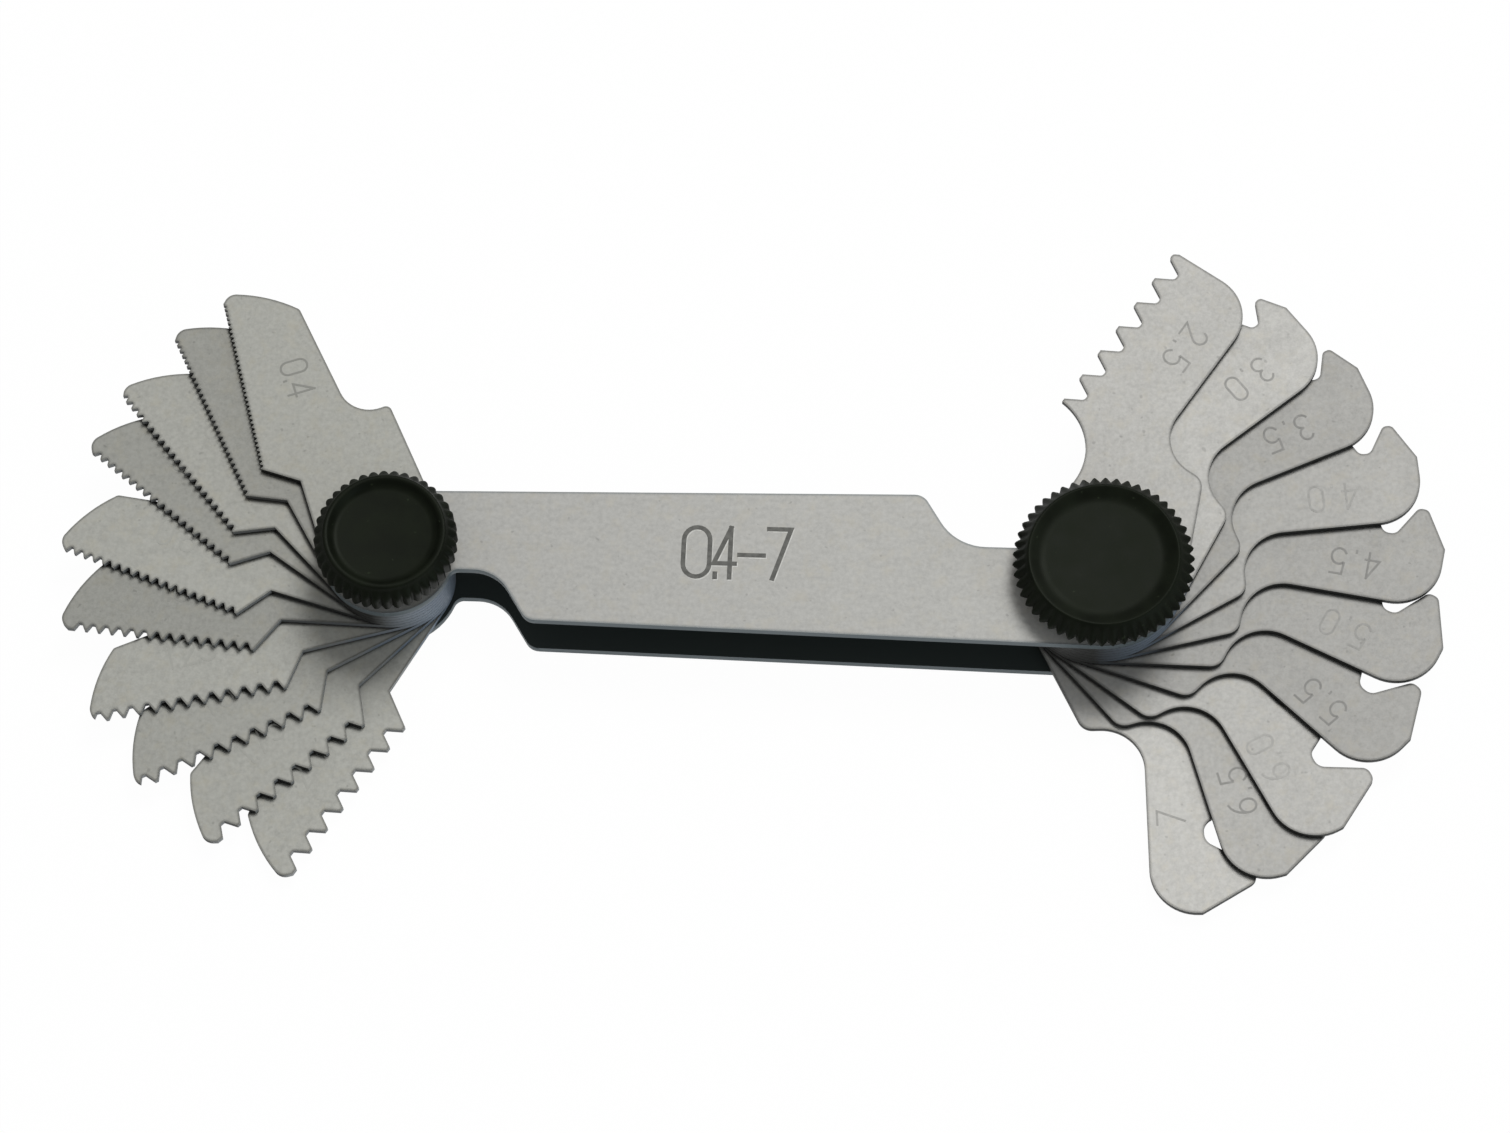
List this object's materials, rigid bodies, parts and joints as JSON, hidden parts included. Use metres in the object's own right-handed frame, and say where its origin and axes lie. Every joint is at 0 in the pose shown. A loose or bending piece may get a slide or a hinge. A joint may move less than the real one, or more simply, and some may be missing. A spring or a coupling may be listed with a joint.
{
  "type": "thread pitch gauge",
  "caption": "Metric thread pitch gauge: fine and coarse toothed leaves fan out from a two-plate holder, clamped by a knurled knob at each pivot.",
  "frame": {"origin": "midway between the two pivots, on the back plate's resting face", "axes": "+X from the fine-pitch pivot to the coarse-pitch pivot, +Z from the back plate to the front, along the pivots; +Y up in the picture"},
  "size_m": [0.1066, 0.0528, 0.0104],
  "materials": {
    "plate_steel": "satin rolled steel, unplated",
    "fine_leaf_steel": "satin spring steel with fine specks",
    "coarse_leaf_steel": "satin spring steel, a little lighter",
    "post_steel": "turned steel",
    "knob_plastic": "black moulded plastic, satin",
    "insert_brass": "turned brass"
  },
  "bodies": {
    "holder": {"back_plate": "plate_steel", "front_plate": "plate_steel", "left_pivot_post": "post_steel", "right_pivot_post": "post_steel"},
    "left_clamp": {"left_knob": "knob_plastic", "left_knob_insert": "insert_brass"},
    "right_clamp": {"right_knob": "knob_plastic", "right_knob_insert": "insert_brass"},
    "leaf_0_4": {"leaf_0_4": "fine_leaf_steel"},
    "leaf_0_5": {"leaf_0_5": "fine_leaf_steel"},
    "leaf_0_7": {"leaf_0_7": "fine_leaf_steel"},
    "leaf_0_75": {"leaf_0_75": "fine_leaf_steel"},
    "leaf_0_8": {"leaf_0_8": "fine_leaf_steel"},
    "leaf_1_0": {"leaf_1_0": "fine_leaf_steel"},
    "leaf_1_25": {"leaf_1_25": "fine_leaf_steel"},
    "leaf_1_5": {"leaf_1_5": "fine_leaf_steel"},
    "leaf_1_75": {"leaf_1_75": "fine_leaf_steel"},
    "leaf_2_0": {"leaf_2_0": "fine_leaf_steel"},
    "leaf_2_5": {"leaf_2_5": "coarse_leaf_steel"},
    "leaf_3_0": {"leaf_3_0": "coarse_leaf_steel"},
    "leaf_3_5": {"leaf_3_5": "coarse_leaf_steel"},
    "leaf_4_0": {"leaf_4_0": "coarse_leaf_steel"},
    "leaf_4_5": {"leaf_4_5": "coarse_leaf_steel"},
    "leaf_5_0": {"leaf_5_0": "coarse_leaf_steel"},
    "leaf_5_5": {"leaf_5_5": "coarse_leaf_steel"},
    "leaf_6_0": {"leaf_6_0": "coarse_leaf_steel"},
    "leaf_6_5": {"leaf_6_5": "coarse_leaf_steel"},
    "leaf_7_0": {"leaf_7_0": "coarse_leaf_steel"}
  },
  "joints": [
    {"name": "leaf_0_4_swing", "type": "hinge", "parent": "holder", "child": "leaf_0_4", "pos_m": [-0.0274, 0, 0.0032], "axis": [0, 0, 1], "range_deg": [-120.5, 239.5]},
    {"name": "leaf_0_5_swing", "type": "hinge", "parent": "holder", "child": "leaf_0_5", "pos_m": [-0.0274, 0, 0.0032], "axis": [0, 0, 1], "range_deg": [-131.2, 228.8]},
    {"name": "leaf_0_7_swing", "type": "hinge", "parent": "holder", "child": "leaf_0_7", "pos_m": [-0.0274, 0, 0.0032], "axis": [0, 0, 1], "range_deg": [-145, 215]},
    {"name": "leaf_0_75_swing", "type": "hinge", "parent": "holder", "child": "leaf_0_75", "pos_m": [-0.0274, 0, 0.0032], "axis": [0, 0, 1], "range_deg": [-156.2, 203.8]},
    {"name": "leaf_0_8_swing", "type": "hinge", "parent": "holder", "child": "leaf_0_8", "pos_m": [-0.0274, 0, 0.0032], "axis": [0, 0, 1], "range_deg": [-174.8, 185.2]},
    {"name": "leaf_1_0_swing", "type": "hinge", "parent": "holder", "child": "leaf_1_0", "pos_m": [-0.0274, 0, 0.0032], "axis": [0, 0, 1], "range_deg": [-189.2, 170.8]},
    {"name": "leaf_1_25_swing", "type": "hinge", "parent": "holder", "child": "leaf_1_25", "pos_m": [-0.0274, 0, 0.0032], "axis": [0, 0, 1], "range_deg": [-207.2, 152.8]},
    {"name": "leaf_1_5_swing", "type": "hinge", "parent": "holder", "child": "leaf_1_5", "pos_m": [-0.0274, 0, 0.0032], "axis": [0, 0, 1], "range_deg": [-221.6, 138.4]},
    {"name": "leaf_1_75_swing", "type": "hinge", "parent": "holder", "child": "leaf_1_75", "pos_m": [-0.0274, 0, 0.0032], "axis": [0, 0, 1], "range_deg": [-237.8, 122.2]},
    {"name": "leaf_2_0_swing", "type": "hinge", "parent": "holder", "child": "leaf_2_0", "pos_m": [-0.0274, 0, 0.0032], "axis": [0, 0, 1], "range_deg": [-252, 108]},
    {"name": "left_knob_turn", "type": "hinge", "parent": "holder", "child": "left_clamp", "pos_m": [-0.0274, 0, 0.0065], "axis": [0, 0, 1], "range_deg": [0, 180]},
    {"name": "leaf_2_5_swing", "type": "hinge", "parent": "holder", "child": "leaf_2_5", "pos_m": [0.0274, 0, 0.0032], "axis": [0, 0, 1], "range_deg": [-259, 101]},
    {"name": "leaf_3_0_swing", "type": "hinge", "parent": "holder", "child": "leaf_3_0", "pos_m": [0.0274, 0, 0.0032], "axis": [0, 0, 1], "range_deg": [-242, 118]},
    {"name": "leaf_3_5_swing", "type": "hinge", "parent": "holder", "child": "leaf_3_5", "pos_m": [0.0274, 0, 0.0032], "axis": [0, 0, 1], "range_deg": [-227, 133]},
    {"name": "leaf_4_0_swing", "type": "hinge", "parent": "holder", "child": "leaf_4_0", "pos_m": [0.0274, 0, 0.0032], "axis": [0, 0, 1], "range_deg": [-209.5, 150.5]},
    {"name": "leaf_4_5_swing", "type": "hinge", "parent": "holder", "child": "leaf_4_5", "pos_m": [0.0274, 0, 0.0032], "axis": [0, 0, 1], "range_deg": [-193, 167]},
    {"name": "leaf_5_0_swing", "type": "hinge", "parent": "holder", "child": "leaf_5_0", "pos_m": [0.0274, 0, 0.0032], "axis": [0, 0, 1], "range_deg": [-177, 183]},
    {"name": "leaf_5_5_swing", "type": "hinge", "parent": "holder", "child": "leaf_5_5", "pos_m": [0.0274, 0, 0.0032], "axis": [0, 0, 1], "range_deg": [-160, 200]},
    {"name": "leaf_6_0_swing", "type": "hinge", "parent": "holder", "child": "leaf_6_0", "pos_m": [0.0274, 0, 0.0032], "axis": [0, 0, 1], "range_deg": [-142, 218]},
    {"name": "leaf_6_5_swing", "type": "hinge", "parent": "holder", "child": "leaf_6_5", "pos_m": [0.0274, 0, 0.0032], "axis": [0, 0, 1], "range_deg": [-130, 230]},
    {"name": "leaf_7_0_swing", "type": "hinge", "parent": "holder", "child": "leaf_7_0", "pos_m": [0.0274, 0, 0.0032], "axis": [0, 0, 1], "range_deg": [-115.5, 244.5]},
    {"name": "right_knob_turn", "type": "hinge", "parent": "holder", "child": "right_clamp", "pos_m": [0.0274, 0, 0.0065], "axis": [0, 0, 1], "range_deg": [0, 180]}
  ]
}
